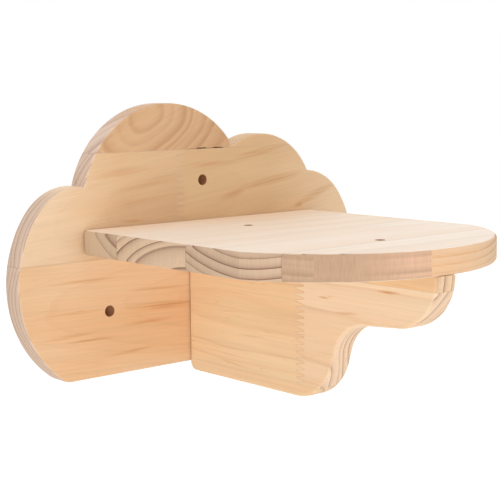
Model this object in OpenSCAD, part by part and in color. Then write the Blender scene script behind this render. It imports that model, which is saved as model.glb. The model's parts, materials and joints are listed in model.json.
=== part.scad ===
/* [Boards] */
// Thickness of the plate, the shelf and the bracket
board_t = 18; // [16:0.5:22]
// Round-over along the edges of the shelf and the bracket
edge_r = 2.5; // [1.5:0.1:3.5]
// Softened arris round the cloud-shaped plate
plate_edge_r = 1.5; // [0.8:0.1:2.5]

/* [Cloud plate] */
// Distance from the plate's middle to the centre of each wing's arc
wing_x = 79.6; // [76:0.1:84]
// Depth of the wing centres below the shelf's top
wing_drop = 38.6; // [35:0.1:42]
// Radius of the two wings
wing_r = 87.2; // [84:0.1:90]
// Radius that rounds the left shoulder
left_shoulder_r = 44.5; // [42:0.5:47]
// Radius that rounds the right shoulder
right_shoulder_r = 48.5; // [45:0.5:51]
// Radius of the two lower corners
foot_r = 12.5; // [10:0.5:18]
// Sideways place of the crown lobe, left of the plate's middle
crown_x = 33.2; // [30:0.1:37]
// Height of the crown's centre over the shelf's top
crown_z = 11.5; // [10:0.1:14]
// Radius of the crown lobe
crown_r = 79; // [78:0.1:81]
// Sideways place of the small lobe, right of the plate's middle
bump_x = 61.5; // [58:0.1:64]
// Height of the small lobe's centre over the shelf's top
bump_z = 7.4; // [7:0.1:9]
// Radius of the small lobe
bump_r = 57.5; // [56.5:0.1:59]

/* [Plate staves and wall holes] */
// Height of the upper glue line over the shelf's top
crown_glue_z = 55; // [50:0.1:55.5]
// Depth of the lower glue line below the shelf's top
lower_glue_drop = 22.8; // [19:0.1:30]
// Distance of the plate's finger joint from its middle, to the left
plate_finger_x = 25.8; // [20:0.1:34]
// Height of the upper wall hole over the shelf's top
upper_hole_z = 30.7; // [26:0.1:38]
// Distance of the lower wall holes from the plate's middle
lower_hole_x = 90; // [80:0.5:100]
// Depth of the lower wall holes below the shelf's top
lower_hole_drop = 62.2; // [56:0.1:70]
// Bore that a wall screw passes through
wall_bore_d = 5; // [4:0.1:6]
// Counterbore that takes the wall screw's head
wall_head_d = 8.5; // [7.5:0.1:10]
// Depth of that counterbore
wall_head_depth = 10; // [7:0.5:12]

/* [Shelf] */
// Width of the shelf
shelf_w = 228; // [220:1:234]
// Reach of the shelf in front of the plate
shelf_d = 254; // [248:1:262]
// Radius of the rounded front
front_r = 122.5; // [119:0.5:127]
// Radius of the two rear corners
rear_corner_r = 7; // [6:0.5:14]
// Width of the rear stave, from the plate to the first glue line
rear_stave_w = 45; // [40:0.5:50]
// Width of the front stave, at the middle of the rounded front
front_stave_w = 52.5; // [47:0.5:57]

/* [Bracket] */
// Sideways place of the bracket, left of the plate's middle
bracket_x = 6; // [0:0.1:10]
// How far the bracket hangs below the plate
bracket_hang = 6.8; // [4:0.1:12]
// Reach of the deep rear block in front of the plate
block_len = 160.4; // [157:0.1:163]
// Radius of the block's lower front corner
belly_r = 39.5; // [36:0.5:42]
// Radius of the cove under the arm
cove_r = 32; // [29:0.5:34]
// Distance of the nose behind the shelf's front
nose_setback = 0.5; // [0.3:0.1:3]
// Depth of the nose's centre below the shelf's underside
nose_drop = 0.9; // [0.2:0.1:3]
// Radius of the nose
nose_r = 37; // [36:0.5:38]
// Radius of the lower rear corner
heel_r = 6; // [4.5:0.5:9]
// Height of the strip glued on along the top
top_strip_h = 10.5; // [9:0.5:15]
// Height of the strip glued on along the bottom
bottom_strip_h = 9.5; // [8:0.1:14]
// Distance of the bracket's finger joint behind the front of the deep block
finger_setback = 38.1; // [34:0.1:50]

/* [Finger joints] */
// Length of a finger
finger_len = 8.3; // [6:0.1:12]
// Spacing of the fingers
finger_pitch = 4.6; // [3.8:0.1:6]

/* [Screws] */
// Shank diameter of every screw
screw_d = 4; // [3:0.1:4.5]
// Diameter of a countersunk head
screw_head_d = 7; // [6:0.1:8]
// Height of the cone under the head
screw_head_h = 2.6; // [2:0.1:3.2]
// Length of the tapered point
screw_point = 5; // [4:0.5:7]
// Width of a slot of the cross recess
cross_w = 1.1; // [0.8:0.1:1.4]
// Span of the cross recess
cross_span = 4.2; // [3.4:0.1:5]
// Depth of the cross recess
cross_depth = 1.6; // [1.2:0.1:1.9]
// Depth of a head below the wood's surface
head_sunk = 0.8; // [0.4:0.1:1.5]
// Play between a screw and its hole
screw_gap = 0.05; // [0.03:0.01:0.1]
// Length of the screws from the shelf into the bracket
shelf_screw_len = 45; // [38:1:52]
// Length of the screws through the plate
plate_screw_len = 50; // [42:1:54]
// Distance of the rear shelf screw from the plate
shelf_screw_rear = 61; // [56:0.5:80]
// Distance of the front shelf screw behind the shelf's front
shelf_screw_setback = 59; // [54:0.5:76]
// Distance of the shelf's plate screws from the middle
plate_screw_x = 70; // [45:1:90]
// Depth of the bracket's upper plate screw below the shelf's top
plate_screw_upper = 46; // [42:0.5:54]
// Height of the bracket's lower plate screw over its bottom edge
plate_screw_lift = 24.6; // [19:0.1:36]

/* [Hidden] */
$fn = 96;
// Overrun of every cut past the face that it opens
over = 1;
// Share of a finger's pitch that its blunt tip takes
tip_share = 0.18;
// Corners of one finger, as shares of its length and its pitch
finger_shares = [
    [0, tip_share / 2], [1, (1 - tip_share) / 2], [1, (1 + tip_share) / 2], [0, 1 - tip_share / 2]
];
// Turns at which arcs and straights touch, each from a right triangle with whole sides
tilt = atan2(3, 4);
lean = atan2(7, 24);
swing = atan2(44, 117);

wing_c = [wing_x, -wing_drop];
foot_c = wing_c + (wing_r - foot_r) * along(tilt - 90);
plate_drop = foot_r - foot_c[1];
span_x = wing_x + wing_r;

block_top = -board_t;
bracket_drop = plate_drop + bracket_hang;
heel_c = [board_t + heel_r, heel_r - bracket_drop];
belly_c = [board_t + block_len - belly_r, belly_r - bracket_drop];
nose_c = [board_t + shelf_d - nose_setback - nose_r, block_top - nose_drop];
// From the belly's centre to the nose's, what the arcs leave is made up by two straights:
// one leans out of the belly into the cove, the other runs under the arm
lean_out = along(-lean);
lean_up = along(90 - lean);
under_out = along(swing - lean);
under_in = along(swing - lean + 90);
left_over = nose_c - belly_c - (belly_r + cove_r) * lean_out - (cove_r + nose_r) * under_in;
ease = cross(left_over, under_out) / cross(lean_up, under_out);
arm_len = cross(lean_up, left_over) / cross(lean_up, under_out);
cove_c = belly_c + (belly_r + cove_r) * lean_out + ease * lean_up;

front_c = -board_t - shelf_d + front_r;
stave_w = (shelf_d - rear_stave_w - front_stave_w) / 2;
first_glue = -board_t - rear_stave_w;
lower_glue_z = -lower_glue_drop;
top_glue_z = block_top - top_strip_h;
bottom_glue_z = bottom_strip_h - bracket_drop;

function along(a) = [cos(a), sin(a)];

function heading(from, to) = atan2(to[1] - from[1], to[0] - from[0]);

// One edge of a finger joint, from just below height 0 up, as a zigzag of blunt fingers
function finger_edge(height) = [
    for (i = [-1 : ceil(height / finger_pitch)])
        for (p = finger_shares)
            [p[0] * finger_len, (i + p[1]) * finger_pitch]
];

// Section of a board with both arrises of its outer edge rounded
module rim(w, e) {
    square([w - e, board_t]);
    translate([0, e]) square([w, board_t - 2 * e]);
    for (y = [e, board_t - e]) translate([w - e, y]) circle(e);
}

// Slice of a round board between two angles
module slice(c, r, a0, a1, e) {
    translate(c) rotate(a0) rotate_extrude(angle = a1 - a0) rim(r, e);
}

// Straight strip of board whose outer edge, on the right of its run, is rounded
module strip(from, to, w, e) {
    run = heading(from, to);
    translate(from) rotate(run) translate([0, w]) rotate([90, 0, 90])
        linear_extrude(norm(to - from)) mirror([1, 0]) rim(w, e);
}

// Cutter for a hollow edge whose arrises are rounded
module hollow(r, e) {
    rotate_extrude() difference() {
        square([r + e, board_t]);
        translate([r, e]) square([e, board_t - 2 * e]);
        for (y = [e, board_t - e]) translate([r + e, y]) circle(e);
    }
}

// Everything on the side of the origin that an angle points to
module beyond(a, far) {
    rotate(a) translate([0, -far, -over]) cube([far, 2 * far, board_t + 2 * over]);
}

// Half of the plate on the right of its middle, up to the shoulder. The arcs are drawn from the
// planes that they share, in the wing's own tilted frame.
module plate_side(shoulder_r) {
    far = 2 * wing_r;
    shoulder_c = wing_c + (wing_r - shoulder_r) * along(tilt);
    inner_z = (shoulder_c[1] + shoulder_r) / 2;
    translate(wing_c) rotate(tilt) {
        intersection() {
            slice([0, 0], wing_r, 0, 360, plate_edge_r);
            beyond(0, far);
            beyond(-90, far);
        }
        translate([wing_r - shoulder_r, 0]) intersection() {
            slice([0, 0], shoulder_r, 0, 360, plate_edge_r);
            beyond(0, far);
            beyond(90, far);
        }
        translate([0, foot_r - wing_r]) {
            intersection() {
                slice([0, 0], foot_r, 0, 360, plate_edge_r);
                beyond(180, far);
                rotate(-tilt) beyond(0, far);
            }
            rotate(-tilt) strip([-foot_c[0] - over, -foot_r], [0, -foot_r], foot_r + over, plate_edge_r);
        }
    }
    linear_extrude(board_t) polygon([
        [-over, foot_c[1]], foot_c, wing_c + [wing_r / 2, 0], shoulder_c,
        [shoulder_c[0], inner_z], [-over, inner_z]
    ]);
}

// The cloud, drawn upright with its thickness along Z
module plate_flat() {
    plate_side(right_shoulder_r);
    mirror([1, 0, 0]) plate_side(left_shoulder_r);
    slice([-crown_x, crown_z], crown_r, 0, 180, plate_edge_r);
    slice([bump_x, bump_z], bump_r, 0, 180, plate_edge_r);
}

module plate_board() {
    difference() {
        rotate([90, 0, 0]) plate_flat();
        wall_hole(0, upper_hole_z);
        for (x = [-lower_hole_x, lower_hole_x]) wall_hole(x, -lower_hole_drop);
        plate_shelf_places() screw_hole(plate_screw_len);
        plate_bracket_places() screw_hole(plate_screw_len);
    }
}

// Hole for a wall screw, counterbored from the front
module wall_hole(x, z) {
    translate([x, over, z]) rotate([90, 0, 0]) cylinder(d = wall_bore_d, h = board_t + 2 * over);
    translate([x, wall_head_depth - board_t, z]) rotate([90, 0, 0])
        cylinder(d = wall_head_d, h = wall_head_depth + over);
}

// Block that keeps the plate between two heights
module plate_band(z0, z1) {
    translate([-span_x - over, -board_t - over, z0])
        cube([2 * (span_x + over), board_t + 2 * over, z1 - z0]);
}

// Left of the plate's finger joint
module plate_finger_cut() {
    h = crown_glue_z - lower_glue_z;
    edge = [for (p = finger_edge(h)) [p[0] - plate_finger_x, p[1] + lower_glue_z]];
    far = -span_x - over;
    translate([0, over, 0]) rotate([90, 0, 0]) linear_extrude(board_t + 2 * over)
        polygon(concat(edge, [[far, edge[len(edge) - 1][1]], [far, edge[0][1]]]));
}

module plate_middle() {
    intersection() {
        plate_board();
        plate_band(lower_glue_z, crown_glue_z);
    }
}

// The D-shaped shelf in one piece
module shelf_board() {
    half = shelf_w / 2;
    back = -board_t;
    corner = rear_corner_r;
    translate([0, 0, -board_t]) intersection() {
        union() {
            for (s = [0, 1]) mirror([s, 0, 0]) {
                slice([half - corner, back - corner], corner, 0, 90, edge_r);
                strip([half, back - shelf_d], [half, back - corner], half, edge_r);
            }
            strip([half - corner, back], [corner - half, back], corner, edge_r);
        }
        union() {
            slice([0, front_c], front_r, 180, 360, edge_r);
            translate([-shelf_w, front_c, 0]) cube([2 * shelf_w, back - front_c, board_t]);
        }
    }
}

module shelf_stave(y0, y1) {
    difference() {
        intersection() {
            shelf_board();
            translate([-shelf_w, y1, -board_t - over]) cube([2 * shelf_w, y0 - y1, board_t + 2 * over]);
        }
        shelf_screw_places() screw_hole(shelf_screw_len);
        plate_shelf_places() screw_hole(plate_screw_len);
    }
}

// The bracket drawn flat: X runs out from the wall, Y is height. Its lower edge is a chain of frames,
// each set where the last arc or straight ends.
module bracket_edge() {
    far = 4 * nose_r;
    back = heel_c - belly_c;
    translate(belly_c) {
        translate(back) slice([0, 0], heel_r, 180, 270, edge_r);
        strip([back[0], -belly_r], [0, -belly_r], heel_r + over, edge_r);
        intersection() {
            slice([0, 0], belly_r, 0, 360, edge_r);
            beyond(0, far);
            rotate(-lean) beyond(-90, far);
        }
        rotate(-lean) {
            strip([belly_r, 0], [belly_r, ease], 3 / 4 * belly_r, edge_r);
            translate([belly_r + cove_r, ease]) {
                difference() {
                    intersection() {
                        cylinder(r = cove_r + 3 / 4 * nose_r, h = board_t);
                        beyond(90, far);
                        rotate(swing) beyond(180, far);
                    }
                    hollow(cove_r, edge_r);
                }
                rotate(swing) {
                    strip([0, cove_r], [arm_len, cove_r], 3 / 4 * nose_r, edge_r);
                    translate([arm_len, cove_r + nose_r]) intersection() {
                        slice([0, 0], nose_r, 0, 360, edge_r);
                        beyond(0, far);
                    }
                }
            }
        }
    }
}

module bracket_flat() {
    top = block_top + over;
    core = [
        heel_c, [belly_c[0], heel_c[1]], belly_c + belly_r / 2 * lean_out,
        cove_c - (cove_r + belly_r / 2) * lean_out, cove_c + (cove_r + nose_r / 2) * under_in,
        nose_c - nose_r / 2 * under_in, nose_c + [nose_r / 2, 0],
        [nose_c[0] + nose_r / 2, top], [heel_c[0], top]
    ];
    intersection() {
        union() {
            linear_extrude(board_t) polygon(core);
            bracket_edge();
            strip([board_t, top], [board_t, heel_c[1]], heel_r + over, edge_r);
        }
        strip([board_t + shelf_d, block_top], [board_t - over, block_top], bracket_drop, edge_r);
    }
}

module bracket_board() {
    difference() {
        translate([board_t / 2 - bracket_x, 0, 0]) rotate([90, 0, -90]) bracket_flat();
        shelf_screw_places() screw_hole(shelf_screw_len);
        plate_bracket_places() screw_hole(plate_screw_len);
    }
}

// Part of the bracket between two heights
module bracket_band(z0, z1) {
    intersection() {
        bracket_board();
        translate([-bracket_x - board_t, -board_t - shelf_d, z0])
            cube([2 * board_t, board_t + shelf_d, z1 - z0]);
    }
}

// Everything on the wall's side of the bracket's finger joint
module bracket_finger_cut() {
    h = top_glue_z - bottom_glue_z;
    start = board_t + block_len - finger_setback;
    edge = [for (p = finger_edge(h)) [p[0] + start, p[1] + bottom_glue_z]];
    translate([board_t - bracket_x, 0, 0]) rotate([90, 0, -90]) linear_extrude(2 * board_t)
        polygon(concat(edge, [[0, edge[len(edge) - 1][1]], [0, edge[0][1]]]));
}

// A countersunk screw that points down from Z = 0
module screw(length) {
    difference() {
        rotate_extrude() screw_half(length, 0);
        for (a = [0, 90]) rotate(a) translate([-cross_span / 2, -cross_w / 2, -cross_depth])
            cube([cross_span, cross_w, cross_depth + over]);
    }
}

// Half of a screw's outline, swelled by the play of its hole
module screw_half(length, play) {
    r = screw_d / 2 + play;
    head = screw_head_d / 2 + play;
    polygon([[0, 0], [head, 0], [r, -screw_head_h], [r, screw_point - length], [0, -length - play]]);
}

// Hole that a screw sits in, open to the surface over its head
module screw_hole(length) {
    rotate_extrude() screw_half(length, screw_gap);
    cylinder(d = screw_head_d + 2 * screw_gap, h = head_sunk + over);
}

module shelf_screw_places() {
    for (y = [shelf_screw_rear, shelf_d - shelf_screw_setback])
        translate([-bracket_x, -board_t - y, -head_sunk]) children();
}

module plate_shelf_places() {
    for (x = [-plate_screw_x, plate_screw_x])
        translate([x, -head_sunk, -board_t / 2]) rotate([-90, 0, 0]) children();
}

module plate_bracket_places() {
    for (drop = [plate_screw_upper, bracket_drop - plate_screw_lift])
        translate([-bracket_x, -head_sunk, -drop]) rotate([-90, 0, 0]) children();
}

module plate_crown_stave() {
    color("#d8ae7e") intersection() {
        plate_board();
        plate_band(crown_glue_z, crown_z + crown_r + over);
    }
}

module plate_middle_left() {
    color("#e3bd8e") intersection() {
        plate_middle();
        plate_finger_cut();
    }
}

module plate_middle_right() {
    color("#dfb585") difference() {
        plate_middle();
        plate_finger_cut();
    }
}

module plate_lower_stave() {
    color("#ecc094") intersection() {
        plate_board();
        plate_band(-plate_drop - over, lower_glue_z);
    }
}

module shelf_rear_stave() {
    color("#f1ddc2") shelf_stave(-board_t, first_glue);
}

module shelf_second_stave() {
    color("#f3e0c6") shelf_stave(first_glue, first_glue - stave_w);
}

module shelf_third_stave() {
    color("#f5e4cd") shelf_stave(first_glue - stave_w, first_glue - 2 * stave_w);
}

module shelf_front_stave() {
    color("#f4e2ca") shelf_stave(first_glue - 2 * stave_w, -board_t - shelf_d - over);
}

module bracket_top_strip() {
    color("#e6b27a") bracket_band(top_glue_z, block_top + over);
}

module bracket_rear_block() {
    color("#edc08e") intersection() {
        bracket_band(bottom_glue_z, top_glue_z);
        bracket_finger_cut();
    }
}

module bracket_front_arm() {
    color("#f0cb9c") difference() {
        bracket_band(bottom_glue_z, top_glue_z);
        bracket_finger_cut();
    }
}

module bracket_bottom_strip() {
    color("#efc797") bracket_band(-bracket_drop - over, bottom_glue_z);
}

module shelf_screws() {
    color("#8a7a55") shelf_screw_places() screw(shelf_screw_len);
}

module plate_shelf_screws() {
    color("#8a7a55") plate_shelf_places() screw(plate_screw_len);
}

module plate_bracket_screws() {
    color("#8a7a55") plate_bracket_places() screw(plate_screw_len);
}

plate_crown_stave();
plate_middle_left();
plate_middle_right();
plate_lower_stave();
shelf_rear_stave();
shelf_second_stave();
shelf_third_stave();
shelf_front_stave();
bracket_top_strip();
bracket_rear_block();
bracket_front_arm();
bracket_bottom_strip();
shelf_screws();
plate_shelf_screws();
plate_bracket_screws();
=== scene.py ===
import bpy
import bmesh
import json
import math
import random
from mathutils import Matrix, Vector


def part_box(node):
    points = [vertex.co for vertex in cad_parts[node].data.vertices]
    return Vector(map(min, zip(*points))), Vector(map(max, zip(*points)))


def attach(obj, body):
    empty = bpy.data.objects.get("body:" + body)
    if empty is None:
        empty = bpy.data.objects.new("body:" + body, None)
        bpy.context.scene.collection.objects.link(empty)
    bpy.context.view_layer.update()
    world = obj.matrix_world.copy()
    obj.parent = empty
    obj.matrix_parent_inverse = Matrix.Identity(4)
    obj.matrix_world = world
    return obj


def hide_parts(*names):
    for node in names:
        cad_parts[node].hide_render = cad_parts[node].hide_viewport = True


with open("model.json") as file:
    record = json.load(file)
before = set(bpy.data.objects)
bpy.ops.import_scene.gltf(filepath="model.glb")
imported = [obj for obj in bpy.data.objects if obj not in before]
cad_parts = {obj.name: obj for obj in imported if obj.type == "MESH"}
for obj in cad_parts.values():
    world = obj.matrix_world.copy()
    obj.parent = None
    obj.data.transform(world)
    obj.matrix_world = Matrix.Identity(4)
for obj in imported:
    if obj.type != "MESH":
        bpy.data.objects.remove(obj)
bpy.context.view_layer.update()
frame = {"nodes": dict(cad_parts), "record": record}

mm = 0.001  # every object is in metres
print("frame loaded:", len(frame["nodes"]), "nodes")


def edgeOf(node, axis, end):  # mm: where a CAD node starts (end 0) or stops (end 1) along an axis
    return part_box(node)[end]["XYZ".index(axis)] / mm


plateFront = edgeOf("plate_middle_left", "Y", 0)
plateBack = edgeOf("plate_middle_left", "Y", 1)
glueLevels = {  # mm: heights on the plate and the bracket, places along Y on the shelf
    "plate": [edgeOf("plate_lower_stave", "Z", 1), edgeOf("plate_crown_stave", "Z", 0)],
    "shelf": [edgeOf("shelf_" + name + "_stave", "Y", 0) for name in ("rear", "second", "third")],
    "bracket": [edgeOf("bracket_bottom_strip", "Z", 1), edgeOf("bracket_top_strip", "Z", 0)],
}


def linearColour(hexCode):
    channels = [int(hexCode[i:i + 2], 16) / 255 for i in (1, 3, 5)]
    return [c / 12.92 if c <= 0.04045 else ((c + 0.055) / 1.055) ** 2.4 for c in channels] + [1]


def addNode(tree, kind, settings=None, inputs=None):
    node = tree.nodes.new(kind)
    for key, value in (settings or {}).items():
        setattr(node, key, value)
    for key, value in (inputs or {}).items():
        if isinstance(value, bpy.types.NodeSocket):
            tree.links.new(value, node.inputs[key])
        else:
            node.inputs[key].default_value = value
    return node


# Short forms for the nodes used most; each gives back the socket with the result
def compute(tree, operation, *values):
    return addNode(tree, "ShaderNodeMath", {"operation": operation}, dict(enumerate(values))).outputs[0]


def onVectors(tree, operation, *vectors):
    node = addNode(tree, "ShaderNodeVectorMath", {"operation": operation}, dict(enumerate(vectors)))
    return node.outputs[0]


def measured(tree, operation, *vectors):  # for the operations that give one number
    node = addNode(tree, "ShaderNodeVectorMath", {"operation": operation}, dict(enumerate(vectors)))
    return node.outputs["Value"]


def dimmed(tree, colour, share):
    inputs = {0: colour, "Scale": share}
    return addNode(tree, "ShaderNodeVectorMath", {"operation": "SCALE"}, inputs).outputs[0]


def remap(tree, value, start, stop, low=0.0, high=1.0):
    inputs = dict(enumerate((value, start, stop, low, high)))
    return addNode(tree, "ShaderNodeMapRange", inputs=inputs).outputs[0]


def mixed(tree, share, first, second):  # colours
    return addNode(tree, "ShaderNodeMix", {"data_type": "RGBA"}, {0: share, 6: first, 7: second}).outputs[2]


def noiseOf(tree, vector, size, detail, roughness=0.5):
    inputs = {"Vector": vector, "Scale": 1 / size, "Detail": detail, "Roughness": roughness}
    return addNode(tree, "ShaderNodeTexNoise", inputs=inputs).outputs[0]


def stretched(tree, vector, length, width):  # long along X, narrow across it
    return onVectors(tree, "MULTIPLY", vector, (1 / length, 1 / width, 1 / width))


def greyRamp(tree, value, stops):  # stops between a black start and the end of the ramp
    node = addNode(tree, "ShaderNodeValToRGB", inputs={0: value})
    for place, level in stops:
        node.color_ramp.elements.new(place).color = (level, level, level, 1)
    return node


def objectPlace(tree):
    return addNode(tree, "ShaderNodeTexCoord").outputs["Object"]


def relief(tree, height, strength, depth):  # depth in mm
    inputs = {"Strength": strength, "Distance": depth * mm, "Height": height}
    return addNode(tree, "ShaderNodeBump", inputs=inputs).outputs[0]


def newMaterial(name):
    material = bpy.data.materials.new(name)
    material.use_nodes = True
    material.node_tree.nodes.clear()
    return material


def surface(tree, inputs):
    shader = addNode(tree, "ShaderNodeBsdfPrincipled", inputs=inputs).outputs[0]
    addNode(tree, "ShaderNodeOutputMaterial", inputs={0: shader})


def link(name, data):
    piece = bpy.data.objects.new(name, data)
    bpy.context.scene.collection.objects.link(piece)
    return piece


def flatten(piece):  # turns what the modifiers give into a plain mesh
    bpy.context.view_layer.update()
    depsgraph = bpy.context.evaluated_depsgraph_get()
    mesh = bpy.data.meshes.new_from_object(piece.evaluated_get(depsgraph), depsgraph=depsgraph)
    piece.modifiers.clear()
    piece.data = mesh


# Radiata pine, planed and sanded, with no finish. Pale earlywood and tan latewood show as faint
# streaks along the grain, and as thin mauve-brown rings on sawn ends, which are greyer and rougher.
grainSizes = {  # mm: length along the grain, then width across it
    "streak": (190, 4),
    "fibre": (55, 1.1),  # real fibres are finer; drawn coarser so that they show at arm's length
    "fleck": (14, 1.2),
    "tone": (240, 60),
}
grainNoise = {"detail": 3.0, "roughness": 0.55}
grainTones = {  # between which two values of its noise each one turns, and from what to what
    "band": (0.52, 0.72, 0.0, 0.16),  # share of the late colour in broad faint bands
    "warmth": (0.35, 0.68, 0.0, 1.0),  # share of the warm colour
    "streaks": (0.3, 0.7, 0.955, 1.03),  # brightness
    "fibres": (0.3, 0.7, 0.955, 1.03),  # brightness
    "flecks": (0.68, 0.78, 0.0, 1.0),  # share of the late colour in short dashes
    "ragged": (0.3, 0.65, 1.0, 0.25),  # how much of a resin streak the fibres let through
}
sawMarks = {"width": 0.625, "height": 10, "middle": 0.52, "strength": 0.35}  # the first two in mm
planed = {
    "faceRoughness": 0.5, "endRoughness": 0.75, "patches": 0.12,
    "lateHeight": 0.4, "bump": 0.3, "depth": 0.12,  # the last in mm
    "specular": 0.3,
}


def pineGroup():
    tree = bpy.data.node_groups.new("radiata pine", "ShaderNodeTree")
    sockets = {
        "NodeSocketVector": ("Vector", "Seed"),
        "NodeSocketFloat": ("Late", "End", "Resin and shade", "Contrast", "Fleck", "Glue and shade"),
        "NodeSocketColor": ("Early colour", "Warm colour", "Late colour", "End early", "End late"),
    }
    for kind, names in sockets.items():
        for name in names:
            tree.interface.new_socket(name, in_out="INPUT", socket_type=kind)
    tree.interface.new_socket("Colour", in_out="OUTPUT", socket_type="NodeSocketColor")
    for name in ("Roughness", "Height"):
        tree.interface.new_socket(name, in_out="OUTPUT", socket_type="NodeSocketFloat")
    given = addNode(tree, "NodeGroupInput").outputs
    seeded = onVectors(tree, "ADD", given["Vector"], given["Seed"])
    noise = {}
    for name, (length, width) in grainSizes.items():
        long = stretched(tree, seeded, length, width)
        noise[name] = noiseOf(tree, long, 1.0, grainNoise["detail"], grainNoise["roughness"])

    # long grain
    faint = compute(tree, "MULTIPLY", given["Late"], given["Contrast"])
    faint = compute(tree, "MAXIMUM", faint, remap(tree, noise["streak"], *grainTones["band"]))
    warmth = remap(tree, noise["tone"], *grainTones["warmth"])
    ground = mixed(tree, warmth, given["Early colour"], given["Warm colour"])
    face = mixed(tree, faint, ground, given["Late colour"])
    streaks = remap(tree, noise["streak"], *grainTones["streaks"])
    fibres = remap(tree, noise["fibre"], *grainTones["fibres"])
    face = dimmed(tree, face, compute(tree, "MULTIPLY", streaks, fibres))
    flecks = compute(tree, "MULTIPLY", remap(tree, noise["fleck"], *grainTones["flecks"]), given["Fleck"])
    ragged = remap(tree, noise["fibre"], *grainTones["ragged"])
    resinAndShade = compute(tree, "MULTIPLY_ADD", given["Resin and shade"], ragged, flecks)
    face = mixed(tree, resinAndShade, face, given["Late colour"])

    # sawn ends, with the saw's upright scratches
    upright = (1 / sawMarks["width"], 1 / sawMarks["width"], 1 / sawMarks["height"])
    scratch = noiseOf(tree, onVectors(tree, "MULTIPLY", seeded, upright), 1.0, 2.0)
    scratched = compute(tree, "SUBTRACT", scratch, sawMarks["middle"])
    scratched = compute(tree, "MULTIPLY_ADD", scratched, sawMarks["strength"], 1.0)
    end = dimmed(tree, mixed(tree, given["Late"], given["End early"], given["End late"]), scratched)

    # face, end and the thin dark glue lines, which also carry the painted contact shade along other boards
    wood = mixed(tree, given["End"], face, end)
    wood = mixed(tree, given["Glue and shade"], wood, given["End late"])

    dull = remap(tree, given["End"], 0.0, 1.0, planed["faceRoughness"], planed["endRoughness"])
    patchy = compute(tree, "MULTIPLY_ADD", noise["fibre"], planed["patches"], dull)
    ridges = compute(tree, "MULTIPLY", scratch, given["End"])
    grain = compute(tree, "MULTIPLY_ADD", given["Late"], planed["lateHeight"], noise["fibre"])
    height = compute(tree, "ADD", ridges, grain)
    addNode(tree, "NodeGroupOutput", inputs={"Colour": wood, "Roughness": patchy, "Height": height})
    return tree


pine = pineGroup()

mostRings = 30  # a colour ramp takes 32 stops
yearSpread = (0.6, 1.4)  # a bad and a good year's growth, as a share of the usual one


def yearRings(seed, first, last, gap):  # mm from the pith
    chance = random.Random(seed)
    radii = [first]
    while radii[-1] < last and len(radii) < mostRings:
        radii.append(radii[-1] + gap * chance.uniform(*yearSpread))
    return radii


thinLine = [(0.4, 0.05), (0.72, 0.26), (0.87, 0.55), (0.93, 1.0), (1, 0.8)]  # share of the year, darkness
broadBand = [(0.15, 0.1), (0.5, 0.5), (0.72, 1.0), (0.85, 0.85), (1, 0.1)]
swaySize = (130, 34)  # mm: how far apart the rings' slow bends are, along the grain and across it
pineLook = {  # what every stave starts from; lengths in mm, angles in degrees
    "shift": 0, "squash": 1.0,  # the pith's place along the grain, the rings' flattening
    "season": thinLine, "weakest": 0.6,  # how a ring darkens, and how dark the faintest year is
    "slope": 0,  # the streaks' tilt on the face
    "resinAndShade": (),  # stains, mostly real resin, one of them painted shade: along, across, length, width, tilt, strength
    "glue": 0.4,  # how dark the glue lines are
    "paintedContactShade": (),  # painted contact shade along another board: pattern axis, place, half width, strength
}
glueWidth = 0.5  # mm, half
softCore = 0.2  # share of a line's or stain's half width that is fully dark


def ringDarkness(tree, place, look):  # 0 in earlywood, up to 1 on the outer edge of a ring
    axis = Vector(look["axis"]).to_track_quat("X", "Z").to_euler()
    grown = addNode(tree, "ShaderNodeMapping", {"vector_type": "TEXTURE"}, {
        "Vector": place, "Location": [v * mm for v in (look["shift"], *look["pith"])], "Rotation": axis,
        "Scale": (mm, mm / look["squash"], mm)}).outputs[0]
    radius = measured(tree, "LENGTH", onVectors(tree, "MULTIPLY", grown, (0, 1, 1)))
    loose = stretched(tree, onVectors(tree, "ADD", grown, look["seed"]), *swaySize)
    sway = compute(tree, "SUBTRACT", noiseOf(tree, loose, 1.0, 1.5), 0.5)
    radius = compute(tree, "MULTIPLY_ADD", sway, look["wander"], radius)
    first, *inner, last = look["rings"]
    gaps = len(inner) + 1.0
    stops = [((ring - first) / (last - first), number / gaps) for number, ring in enumerate(inner, 1)]
    years = greyRamp(tree, remap(tree, radius, first, last), stops).outputs[0]
    years = compute(tree, "MULTIPLY", years, gaps)
    late = greyRamp(tree, compute(tree, "FRACT", years), look["season"][:-1])
    level = look["season"][-1][1]
    late.color_ramp.elements[-1].color = (level, level, level, 1)
    year = compute(tree, "FLOOR", years)
    chance = addNode(tree, "ShaderNodeTexWhiteNoise", {"noise_dimensions": "1D"}, {"W": year})
    weight = remap(tree, chance.outputs["Value"], 0.0, 1.0, look["weakest"], 1.0)
    return compute(tree, "MULTIPLY", late.outputs[0], weight)


def resinAndShadeStains(tree, place, streaks):  # long stains with soft edges: real resin, and painted shade where a look gives one
    total = 0.0
    for along, across, length, width, tilt, strength in streaks:
        spot = addNode(tree, "ShaderNodeMapping", {"vector_type": "TEXTURE"}, {
            "Vector": place, "Location": (along * mm, 0, across * mm),
            "Rotation": (0, -math.radians(tilt), 0),
            "Scale": (length / 2 * mm, 1, width / 2 * mm)}).outputs[0]
        stain = remap(tree, measured(tree, "LENGTH", spot), 1.0, softCore, 0.0, strength)
        total = compute(tree, "MAXIMUM", stain, total)
    return total


def glueAndContactShade(tree, place, look):  # thin dark glue lines where this stave meets the next piece, and painted contact shade along the board it rests against
    levels = addNode(tree, "ShaderNodeSeparateXYZ", inputs={0: place}).outputs
    lines = [(look["jointAxis"], joint, glueWidth, look["glue"]) for joint in look["joints"]]
    total = 0.0
    for axis, joint, width, strength in (*lines, *look["paintedContactShade"]):
        offset = compute(tree, "ABSOLUTE", compute(tree, "SUBTRACT", levels[axis], joint * mm))
        dark = remap(tree, offset, width * softCore * mm, width * mm, strength, 0.0)
        total = compute(tree, "MAXIMUM", dark, total)
    return total


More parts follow.
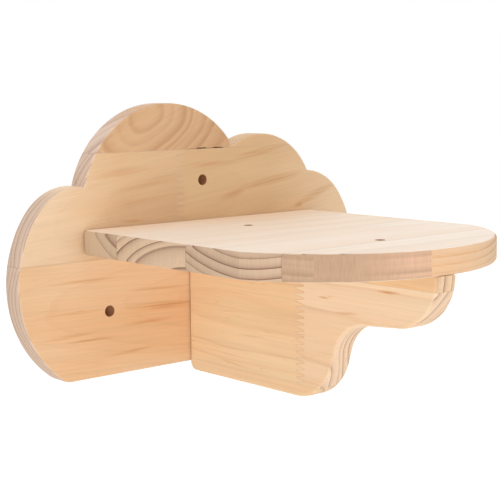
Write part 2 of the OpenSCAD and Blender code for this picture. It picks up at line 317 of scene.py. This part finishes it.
def groundColours(tree, place, look):
    colours = {key: linearColour(look[key]) for key in ("early", "warm", "endEarly")}
    if "fade" in look:  # from one X to another, these colours turn into others
        start, stop, turned = look["fade"]
        along = addNode(tree, "ShaderNodeSeparateXYZ", inputs={0: place}).outputs["X"]
        along = remap(tree, along, start * mm, stop * mm)
        for key, hexCode in turned.items():
            colours[key] = mixed(tree, along, colours[key], linearColour(hexCode))
    return colours


def pineStave(name, look):
    material = newMaterial(name)
    tree = material.node_tree
    turn, axis = {"x": (0, (1, 0, 0)), "y": (-math.pi / 2, (0, 1, 0))}[look["grain"]]
    place = addNode(tree, "ShaderNodeMapping", inputs={  # brings the grain onto the pattern's X
        "Vector": objectPlace(tree), "Rotation": (0, 0, turn)}).outputs[0]
    grain = addNode(tree, "ShaderNodeMapping", {"vector_type": "TEXTURE"}, {
        "Vector": place, "Rotation": (0, -math.radians(look["slope"]), 0), "Scale": (mm, mm, mm)}).outputs[0]
    normal = addNode(tree, "ShaderNodeNewGeometry").outputs["Normal"]
    facing = compute(tree, "ABSOLUTE", measured(tree, "DOT_PRODUCT", normal, axis))
    end = addNode(tree, "ShaderNodeMapRange", {"interpolation_type": "SMOOTHSTEP"}, {
        0: facing, 1: look["endFrom"][0], 2: look["endFrom"][1]}).outputs[0]
    ground = groundColours(tree, place, look)
    wood = addNode(tree, "ShaderNodeGroup", {"node_tree": pine}, {
        "Vector": grain, "Seed": look["seed"], "End": end,
        "Late": ringDarkness(tree, place, look), "Contrast": look["contrast"],
        "Resin and shade": resinAndShadeStains(tree, place, look["resinAndShade"]), "Fleck": look["fleck"],
        "Glue and shade": glueAndContactShade(tree, place, look),
        "Early colour": ground["early"], "Warm colour": ground["warm"],
        "Late colour": linearColour(look["late"]),
        "End early": ground["endEarly"], "End late": linearColour(look["endLate"]),
    }).outputs
    surface(tree, {
        "Base Color": wood["Colour"], "Roughness": wood["Roughness"],
        "Specular IOR Level": planed["specular"],
        "Normal": relief(tree, wood["Height"], planed["bump"], planed["depth"])})
    return material


torn = {"size": 1.4, "roughness": 0.85, "bump": 0.6, "depth": 0.2}  # size and depth in mm


def tornPineInShade(name, light, dark):  # rough broken fibres, in the dark colours that paint shade in holes and in the crack
    material = newMaterial(name)
    tree = material.node_tree
    ragged = noiseOf(tree, objectPlace(tree), torn["size"] * mm, 3.0)
    surface(tree, {
        "Base Color": mixed(tree, ragged, linearColour(light), linearColour(dark)),
        "Roughness": torn["roughness"],
        "Normal": relief(tree, ragged, torn["bump"], torn["depth"])})
    return material


drilled = tornPineInShade("drilled pine with painted shade", "#B98458", "#8A5636")  # walls of holes: their darker end grain, with painted shade
cracked = tornPineInShade("painted shade in the crack", "#6E4A30", "#3C2616")  # painted shade deep in the gap, dark brown
drilling = {  # mm, except the screws' axes
    "wallHole": 4.25,  # radius of the counterbore
    "screws": {"plate_shelf_screws": "Y", "plate_bracket_screws": "Y", "shelf_screws": "Z"},
    "spare": 0.2, "past": 1.2,  # how much wider and deeper the test for a hole's wall reaches
}


def drilledHoles(s):  # axis, the two other places, radius and depth in mm
    holes = []
    for mount in frame["record"]["mounts"]:
        if mount["kind"] == "bore":
            x, _, z = mount["pos_m"]
            holes.append(("Y", x / mm, z / mm, s["wallHole"], -plateFront))
    for node, axis in s["screws"].items():
        other = "Z" if axis == "Y" else "Y"
        ends = {key: (edgeOf(node, key, 0), edgeOf(node, key, 1)) for key in "XYZ"}
        radius = min(ends[key][1] - ends[key][0] for key in ("X", other)) / 2
        for x in (ends["X"][0] + radius, ends["X"][1] - radius):
            for place in (ends[other][0] + radius, ends[other][1] - radius):
                holes.append((axis, x, place, radius, -ends[axis][0]))
    return [(axis, x, place, radius + s["spare"], depth + s["past"])
            for axis, x, place, radius, depth in holes]


holes = drilledHoles(drilling)


def inHole(face):
    x, y, z = face.center / mm
    for axis, first, second, radius, reach in holes:
        across, depth = (z - second, -y) if axis == "Y" else (y - second, -z)
        if math.hypot(x - first, across) < radius and depth < reach:
            return True
    return False


def onRim(face, rim):
    return abs(face.normal.z) < rim["steep"] and rim["from"] < face.center.x / mm < rim["to"]


edges = {"sharp": 40, "flat": 4e-4, "weld": 0.002}  # degrees, square metres, mm


def shadeEdges(mesh):  # large flat faces stay flat, and what is rounded between them turns smooth
    mesh.set_sharp_from_angle(angle=math.radians(edges["sharp"]))
    areas = {}
    planes = []
    for face in mesh.polygons:
        plane = (*(round(v, 3) for v in face.normal), round(face.normal.dot(face.center) / mm, 1))
        planes.append(plane)
        areas[plane] = areas.get(plane, 0) + face.area
    for face, plane in zip(mesh.polygons, planes):
        face.use_smooth = areas[plane] < edges["flat"]


def dressStave(node, look, rims=(), split=None):
    mesh = frame["nodes"][node].data.copy()
    shape = bmesh.new()
    shape.from_mesh(mesh)
    bmesh.ops.remove_doubles(shape, verts=shape.verts, dist=edges["weld"] * mm)
    for rim in rims:
        bmesh.ops.bisect_plane(shape, geom=[*shape.verts, *shape.edges, *shape.faces],
                               plane_co=(rim["from"] * mm, 0, 0), plane_no=(1, 0, 0))
    shape.to_mesh(mesh)
    shape.free()
    piece = link(node + "_wood", mesh)
    if split:
        cutter = crackCutter(split)
        cut = piece.modifiers.new("cut", "BOOLEAN")
        cut.object = cutter
        cut.solver = "EXACT"
        flatten(piece)
        bpy.data.objects.remove(cutter)
    mesh = piece.data
    woods = [pineStave("pine " + node.replace("_", " "), look), drilled]
    woods += [pineStave(rim["name"], {**look, **rim["look"]}) for rim in rims]
    mesh.materials.clear()
    for material in woods:
        mesh.materials.append(material)
    if split:
        mesh.materials.append(cracked)
    shadeEdges(mesh)
    for face in mesh.polygons:
        face.material_index = 1 if inHole(face) else 0
        for number, rim in enumerate(rims, 2):
            if onRim(face, rim):
                face.material_index = number
        if split and inCrack(face, split):
            face.material_index = len(woods)
    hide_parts(node)
    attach(piece, "root")


# The glue line under the crown has opened: a ragged gap along its middle
crack = {  # mm
    "proud": 1.0, "below": 0.1, "depth": 12.0,  # where the cut starts outside the wood, its depth in it
    "edge": [(-15, 0.1), (-10, 0.2), (-5, 0.3), (-4, 0.8), (3, 0.85), (4.5, 0.35), (8, 0.3), (11, 0.4),
             (12, 0.85), (18, 0.75), (20.5, 0.5), (22, 0.1)],  # place along the line, height of the gap
    "slack": 0.01,  # closer than this is the glue line itself
    "front": -0.9,  # a face whose normal points further to -Y is the plate's front
}


def crackCutter(s):
    front, back = plateFront - s["proud"], plateFront + s["depth"]
    line = glueLevels["plate"][1]
    points = []
    for x, height in s["edge"]:
        low, high = line - s["below"], line + height
        points += [(x, front, low), (x, back, low), (x, back, high), (x, front, high)]
    last = len(points) - 4
    faces = [(3, 2, 1, 0), (last, last + 1, last + 2, last + 3)]
    for i in range(0, last, 4):
        for k in range(4):
            faces.append((i + k, i + (k + 1) % 4, i + 4 + (k + 1) % 4, i + 4 + k))
    mesh = bpy.data.meshes.new("crack cutter")
    mesh.from_pydata([[v * mm for v in point] for point in points], [], faces)
    return link("crack cutter", mesh)


def inCrack(face, s):
    along = face.center.x / mm
    up = face.center.z / mm - glueLevels["plate"][1]
    tallest = max(height for place, height in s["edge"])
    inGap = s["edge"][0][0] < along < s["edge"][-1][0] and s["slack"] < up < tallest + s["slack"]
    return inGap and face.normal.y > s["front"]


plateLook = {
    **pineLook,
    "grain": "x", "axis": (1, 0, 0.03), "wander": 9, "contrast": 0.5, "fleck": 0.2, "endFrom": (0.2, 0.7),
    "early": "#E1C09A", "warm": "#D8B086", "late": "#BC824F", "endEarly": "#DABFA9", "endLate": "#AF8C79",
    "jointAxis": "Z", "joints": glueLevels["plate"],
}
plateStaves = {
    "plate_crown_stave": {
        "pith": (-18, 81), "shift": -54, "axis": (0.6455, -0.6667, 0.3727), "seed": (0, 0, 0),
        "rings": [5, 13, 20.3, 29.8, 34, 38, 45, 53, 66, 78, 95], "contrast": 0.55, "slope": 24,
        "season": broadBand, "weakest": 0.25,
        "early": "#D0AA83", "warm": "#CA9F76", "late": "#AE7A50",
        "endEarly": "#E2C9B5", "endLate": "#C2A391"},
    "plate_middle_left": {
        "pith": (-70, 20), "axis": (1, 0.12, 0.13), "seed": (210, 0, 40),
        "rings": yearRings(3, 34, 110, 4.6), "wander": 5, "contrast": 0.06, "slope": 7,
        # painted light and shade: this stave is paler at its left end and turns darker towards the middle,
        # as the light falls off
        "early": "#E6C9A8", "warm": "#DDB890", "fade": (-135, -75, {"early": "#DAB891", "warm": "#CEA77F"}),
        "resinAndShade": [(-68, 3.4, 32, 3.5, -4, 0.6), (-77, 40, 60, 8, 5, 0.5),
                  (-52, 31, 84, 8, 8.6, 0.5), (-62, 18, 70, 6, 6, 0.4)]},
    "plate_middle_right": {
        "pith": (-66, 18), "axis": (1, -0.1, 0.14), "seed": (900, 30, 0),
        "rings": yearRings(5, 30, 110, 4.8), "wander": 6, "contrast": 0.07, "slope": 8,
        # painted light: towards its right end this stave, and the bump on the crown, turn paler
        "early": "#DBB98F", "warm": "#D0A97F", "fade": (70, 140, {"early": "#EDCCA6", "warm": "#E3BD93"}),
        "resinAndShade": [(8, 43, 62, 6, 1, 0.7), (60, 50.5, 66, 7, 10, 0.8), (71, 26.5, 80, 9, 8.6, 0.85),
                  (32, 18, 36, 8, 14, 0.7), (120, 12, 58, 9, 18, 0.75), (103, 5, 14, 6, 18, 0.9)]},
    "plate_lower_stave": {
        "pith": (-74, -62), "axis": (1, 0.08, -0.03), "seed": (400, 0, 90),
        "rings": yearRings(8, 36, 120, 4.6), "wander": 5, "contrast": 0.1, "slope": -2, "fleck": 0.6,
        "early": "#E6C49F", "warm": "#E0B387", "late": "#BE783C",
        "resinAndShade": [(-40, -63.5, 80, 7, -3, 0.9), (-120, -60, 74, 3, -1, 0.8), (-120, -37.5, 74, 3, 0, 0.55),
                  (-125, -77, 60, 4, 2, 0.55), (-107, -81.6, 56, 3, 0, 0.55), (-57, -74.2, 54, 4, 0, 0.6),
                  (-70, -95, 60, 3, 3, 0.55), (-45, -50, 70, 4, -2, 0.45)]},
}
bump = {  # the small bump has one run of grain with the stave below, and no glue line; it takes that stave's look, with its painted light towards the right
    "name": "pine plate bump", "from": 27.4, "to": 200, "steep": 2,  # every face is less steep than this
    "look": {**plateLook, **plateStaves["plate_middle_right"], "joints": ()},
}
for node, own in plateStaves.items():
    if node == "plate_crown_stave":
        dressStave(node, {**plateLook, **own}, [bump], crack)
    else:
        dressStave(node, {**plateLook, **own})
print("cloud plate dressed")

shelfLook = {
    **pineLook,
    "grain": "x", "axis": (1, 0, 0), "wander": 2, "contrast": 0.22, "fleck": 0.1, "endFrom": (0.1, 0.45),
    "early": "#F3E2D0", "warm": "#F0DAC4", "late": "#DDB690", "endEarly": "#D6BB9E", "endLate": "#7F5645",
    # painted contact shadow on the shelf's rear edge, where it meets the plate
    "jointAxis": "Y", "joints": glueLevels["shelf"], "paintedContactShade": [("Y", plateFront, 1.3, 0.6)],
}
shelfStaves = {
    "shelf_rear_stave": {
        "pith": (-87, 47), "seed": (0, 0, 0), "rings": [40, 62, 70, 104], "weakest": 0.35,
        "warm": "#EBD0B4", "endEarly": "#CDB294"},
    "shelf_second_stave": {
        "pith": (-146.8, -35.1), "squash": 0.469, "seed": (50, 0, 30),
        "rings": [8, 20.4, 34.5, 38.6, 45.5, 50, 56], "endEarly": "#DBBC9D"},
    "shelf_third_stave": {
        "pith": (-198, 120), "seed": (150, 0, 70), "rings": [112, 118, 124.2, 130.7, 137.2, 142.8, 150],
        "early": "#F6E8DA", "endEarly": "#CDAF93"},
    "shelf_front_stave": {
        "pith": (-290, 160), "seed": (250, 0, 10), "rings": yearRings(4, 150, 200, 7), "early": "#F6E8DA"},
}
sawnRim = {  # rough from the saw all round the curve
    "pith": (-250, 300), "rings": [298, 305, 309, 315, 320], "wander": 1, "contrast": 0, "endFrom": (-2, -1),
    "season": broadBand, "weakest": 0.1, "endLate": "#B08D71",
}
frontSteep = 0.8  # faces that lean further than this belong to the top or underside
frontRims = [  # the front curve was cut from three short lengths, each with a colour of its own
    {"name": "pine front curve left end", "from": -116, "to": -88, "steep": frontSteep,
     "look": {**sawnRim, "endEarly": "#C0A084"}},
    {"name": "pine front curve left", "from": -88, "to": -20, "steep": frontSteep,
     "look": {**sawnRim, "endEarly": "#BB997D", "endLate": "#BF9B7F",
              "fade": (-72, -32, {"endEarly": "#DBB294"})}},
    {"name": "pine front curve right", "from": -20, "to": 116, "steep": frontSteep,
     "look": {"early": "#E6C29E", "warm": "#E1B78F", "late": "#D59656",
              "endEarly": "#DFBD9A", "endLate": "#C09A76", "contrast": 0.5, "slope": -6}},
]
for node, own in shelfStaves.items():
    dressStave(node, {**shelfLook, **own}, frontRims if node == "shelf_front_stave" else ())
print("shelf dressed")

bracketLook = {
    **pineLook,
    "grain": "y", "axis": (1, 0, 0.02), "wander": 6, "contrast": 0.26, "fleck": 0.7, "endFrom": (0.2, 0.7),
    "early": "#F2D3AA", "warm": "#EFC69A", "late": "#CC8C50", "endEarly": "#E6C5A2", "endLate": "#AD896C",
    # painted shade line along the bracket's rear edges, standing in for the shadow in the gap against the
    # plate
    "jointAxis": "Z", "joints": glueLevels["bracket"], "glue": 0.16, "paintedContactShade": [("X", plateFront, 1.8, 1.0)],
}
bracketStaves = {
    "bracket_top_strip": {
        "pith": (-60, -20), "seed": (0, 0, 0), "rings": [50, 56, 62, 69.5, 75.5, 77.6, 84.5, 92],
        "wander": 1, "contrast": 0.2,
        "early": "#F3D6AE", "warm": "#F0CA9D", "late": "#D08A45", "endLate": "#9A7458",
        # the first, broad stain is painted shade and warm bounced light under the shelf; the second is a
        # thin real resin line
        "resinAndShade": [(-70, -24, 190, 60, 0, 0.3), (-240, -27, 50, 2, 0, 0.4)]},
    "bracket_rear_block": {
        "pith": (90, -62), "seed": (300, 0, 0), "rings": yearRings(2, 60, 150, 6),
        "resinAndShade": [(-110, -75.5, 14, 1.6, 2, 0.8), (-70, -104.5, 44, 2, 4, 0.5), (-60, -98, 60, 1.4, 2, 0.4),
                  (-67, -65, 40, 2, -4.7, 0.3), (-95, -80.5, 60, 3, -5.6, 0.3)]},
    "bracket_front_arm": {
        "pith": (-58, -66), "seed": (30, 0, 60), "rings": yearRings(6, 40, 120, 6),
        "early": "#F4D9B9", "warm": "#F1CDA7", "endEarly": "#E9CAAC",
        "resinAndShade": [(-168.5, -43, 14, 2.4, 0, 1.0), (-192, -51, 26, 2.8, -4, 0.9),
                  (-229, -32.4, 24, 2.8, -2, 1.0)]},
    "bracket_bottom_strip": {
        "pith": (40, -150), "seed": (120, 0, 0), "rings": yearRings(9, 20, 110, 6)},
}
for node, own in bracketStaves.items():
    dressStave(node, {**bracketLook, **own})
print("bracket dressed")

seams = {  # the zigzag glue seams of the finger joints: mm, except the shares and the count
    "fingers": 17, "pitch": 4.6, "tipShare": 0.18,
    "length": edgeOf("plate_middle_left", "X", 1) - edgeOf("plate_middle_right", "X", 0),
    "film": 0.12,  # the seam's thickness as a share of its width
    "plate": {"width": 0.22, "colour": "#B58A5E"},
    "bracket": {"width": 0.35, "colour": "#CE8F52"},
    "patches": 5, "pale": 0.45, "roughness": 0.45,
}


def gluePine(name, hexCode, s):  # hardened glue and crushed fibres: a darker, slightly shiny line
    material = newMaterial(name)
    tree = material.node_tree
    thin = noiseOf(tree, objectPlace(tree), s["patches"] * mm, 2.0)
    dark = linearColour(hexCode)
    pale = [c + (1 - c) * s["pale"] for c in dark]
    surface(tree, {"Base Color": mixed(tree, thin, dark, pale), "Roughness": s["roughness"]})
    return material


def seamTree(material):
    tree = bpy.data.node_groups.new("finger seam", "GeometryNodeTree")
    tree.interface.new_socket("Geometry", in_out="OUTPUT", socket_type="NodeSocketGeometry")
    tree.interface.new_socket("Fingers", in_out="INPUT", socket_type="NodeSocketInt")
    for name in ("Pitch", "Length", "Tip share", "Width"):
        tree.interface.new_socket(name, in_out="INPUT", socket_type="NodeSocketFloat")
    given = addNode(tree, "NodeGroupInput").outputs
    corners = 4.0  # of each finger, from its root to its tip and back
    line = addNode(tree, "GeometryNodeMeshLine", inputs={
        "Count": compute(tree, "MULTIPLY", given["Fingers"], corners)}).outputs[0]
    path = addNode(tree, "GeometryNodeMeshToCurve", inputs={0: line}).outputs[0]
    index = addNode(tree, "GeometryNodeInputIndex").outputs[0]
    finger = compute(tree, "FLOOR", compute(tree, "DIVIDE", index, corners))
    corner = compute(tree, "FLOORED_MODULO", index, corners)
    middle = compute(tree, "SUBTRACT", corner, (corners - 1) / 2)
    tip = compute(tree, "LESS_THAN", compute(tree, "ABSOLUTE", middle), 1.0)
    root = compute(tree, "SUBTRACT", 1.0, given["Tip share"])
    spread = addNode(tree, "ShaderNodeMix", inputs={0: tip, 2: root, 3: given["Tip share"]}).outputs[0]
    half = compute(tree, "MULTIPLY", spread, compute(tree, "SIGN", middle))
    half = compute(tree, "MULTIPLY_ADD", half, 0.5, 0.5)
    up = compute(tree, "MULTIPLY", compute(tree, "ADD", finger, half), given["Pitch"])
    out = compute(tree, "MULTIPLY", tip, given["Length"])
    place = addNode(tree, "ShaderNodeCombineXYZ", inputs={0: out, 2: up}).outputs[0]
    path = addNode(tree, "GeometryNodeSetPosition", inputs={0: path, "Position": place}).outputs[0]
    profile = addNode(tree, "GeometryNodeCurvePrimitiveQuadrilateral", inputs={
        "Width": given["Width"], "Height": given["Width"]}).outputs[0]
    strip = addNode(tree, "GeometryNodeCurveToMesh", inputs={
        0: path, 1: profile, "Fill Caps": True}).outputs[0]
    solid = addNode(tree, "GeometryNodeRealizeInstances", inputs={0: strip}).outputs[0]
    solid = addNode(tree, "GeometryNodeSetMaterial", inputs={0: solid, "Material": material}).outputs[0]
    addNode(tree, "NodeGroupOutput", inputs={0: solid})
    return tree


def addSeam(name, s, tree, width, turn):
    piece = link(name, bpy.data.meshes.new(name))
    growth = piece.modifiers.new("finger seam", "NODES")
    growth.node_group = tree
    sockets = {item.name: item.identifier for item in tree.interface.items_tree if item.in_out == "INPUT"}
    values = {"Fingers": s["fingers"], "Pitch": s["pitch"] * mm, "Length": s["length"] * mm,
              "Tip share": s["tipShare"], "Width": width * mm}
    for key, value in values.items():
        growth[sockets[key]] = value
    flatten(piece)
    piece.data.transform(turn)
    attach(piece, "root")


def onFace(x, y, z, turn):  # puts the seam's X and Z onto a face, flattened to a film
    thin = Matrix.Diagonal((1, seams["film"], 1, 1))
    return Matrix.Translation(Vector((x, y, z)) * mm) @ Matrix.Rotation(turn, 4, "Z") @ thin


own = seams["plate"]
tree = seamTree(gluePine("glue in the plate's finger joint", own["colour"], seams))
start = edgeOf("plate_middle_right", "X", 0)
for name, side in (("front", plateFront), ("back", plateBack)):
    turn = onFace(start, side, glueLevels["plate"][0], 0)
    addSeam("plate_finger_seam_" + name, seams, tree, own["width"], turn)
own = seams["bracket"]
tree = seamTree(gluePine("glue in the bracket's finger joint", own["colour"], seams))
start = edgeOf("bracket_front_arm", "Y", 1)
for end, name in enumerate(("left", "right")):
    turn = onFace(edgeOf("bracket_rear_block", "X", end), start, glueLevels["bracket"][0], -math.pi / 2)
    addSeam("bracket_finger_seam_" + name, seams, tree, own["width"], turn)
print("finger seams laid")

steel = {"colour": "#8F8468", "stains": 1.5, "roughness": (0.3, 0.55)}  # stains in mm


# Zinc-plated steel, yellow passivated: a dull warm grey with a faint brassy cast
def screwSteel(s):
    material = newMaterial("zinc plated screw steel")
    tree = material.node_tree
    stain = noiseOf(tree, objectPlace(tree), s["stains"] * mm, 3.0)
    worn = remap(tree, stain, 0.0, 1.0, *s["roughness"])
    surface(tree, {"Base Color": linearColour(s["colour"]), "Metallic": 1.0, "Roughness": worn})
    return material


zinc = screwSteel(steel)
for node in drilling["screws"]:
    screws = frame["nodes"][node]
    screws.data.materials.clear()
    screws.data.materials.append(zinc)
print("screws dressed")

camera = {
    "place": (-619.918, -789.675, 99.042),  # mm
    "yaw": 40.8937, "pitch": -7.1389, "roll": -0.5331,  # degrees: right of +Y, up, clockwise
    "lens": 91.404, "sensor": 36.0,  # mm
    "nearest": 0.05,  # m
}


def addCamera(s):
    yaw, pitch, roll = (math.radians(s[key]) for key in ("yaw", "pitch", "roll"))
    level = Matrix.Rotation(-yaw, 4, "Z") @ Matrix.Rotation(math.pi / 2 + pitch, 4, "X")
    turn = level @ Matrix.Rotation(roll, 4, "Z")
    data = bpy.data.cameras.new("camera")
    data.lens = s["lens"]
    data.sensor_width = s["sensor"]
    data.clip_start = s["nearest"]
    holder = link("camera", data)
    holder.matrix_world = Matrix.Translation(Vector(s["place"]) * mm) @ turn
    bpy.context.scene.camera = holder


addCamera(camera)

studio = {
    "floorZ": -0.9, "floorSize": 14.0,  # m
    "floor": "#EEEEEC", "lift": 0.5, "world": 0.68,
    "lamps": {  # watts, size in m, place, aim
        "top": (15, 2.0, (-0.3, -0.5, 2.0), (0, -0.1, -0.03)),
        "low": (14, 1.0, (-1.15, -1.55, -0.35), (0, -0.1, -0.05)),
        "right": (5, 1.4, (1.6, -1.3, 0.6), (0, -0.1, 0)),
        "rear": (9, 1.6, (0.5, 1.9, 0.7), (0, 0, 0)),
    },
}


def seenDirectly(tree):  # 1 for what the camera sees itself, or sees in gloss or through glass
    seen = addNode(tree, "ShaderNodeLightPath").outputs
    either = compute(tree, "MAXIMUM", seen["Is Camera Ray"], seen["Is Glossy Ray"])
    return compute(tree, "MAXIMUM", either, seen["Is Transmission Ray"])


def paleFloor(s):  # matt white paint, lifted to the white of the backdrop but still taking shadows
    material = newMaterial("pale studio floor")
    tree = material.node_tree
    level = compute(tree, "MULTIPLY", seenDirectly(tree), s["lift"])
    matt = addNode(tree, "ShaderNodeBsdfDiffuse", inputs={"Color": linearColour(s["floor"])}).outputs[0]
    glow = addNode(tree, "ShaderNodeEmission", inputs={"Strength": level}).outputs[0]
    both = addNode(tree, "ShaderNodeAddShader", inputs={0: matt, 1: glow}).outputs[0]
    addNode(tree, "ShaderNodeOutputMaterial", inputs={0: both})
    return material


def addStudio(s):
    half = s["floorSize"] / 2
    corners = [(x, y, s["floorZ"]) for x, y in ((-half, -half), (half, -half), (half, half), (-half, half))]
    mesh = bpy.data.meshes.new("floor")
    mesh.from_pydata(corners, [], [(0, 1, 2, 3)])
    floor = link("floor", mesh)
    mesh.materials.append(paleFloor(s))
    world = bpy.data.worlds.new("studio")
    bpy.context.scene.world = world
    world.use_nodes = True
    tree = world.node_tree
    tree.nodes.clear()
    level = remap(tree, seenDirectly(tree), 0.0, 1.0, s["world"], 1.0)
    sky = addNode(tree, "ShaderNodeBackground", inputs={"Color": (1, 1, 1, 1), "Strength": level}).outputs[0]
    addNode(tree, "ShaderNodeOutputWorld", inputs={0: sky})
    for name, (power, size, place, aim) in s["lamps"].items():
        data = bpy.data.lights.new(name, "AREA")
        data.energy = power
        data.size = size
        lamp = link(name, data)
        lamp.location = place
        lamp.rotation_euler = (Vector(aim) - Vector(place)).to_track_quat("-Z", "Y").to_euler()


addStudio(studio)
bpy.context.scene.view_settings.view_transform = "Standard"
print("studio set")
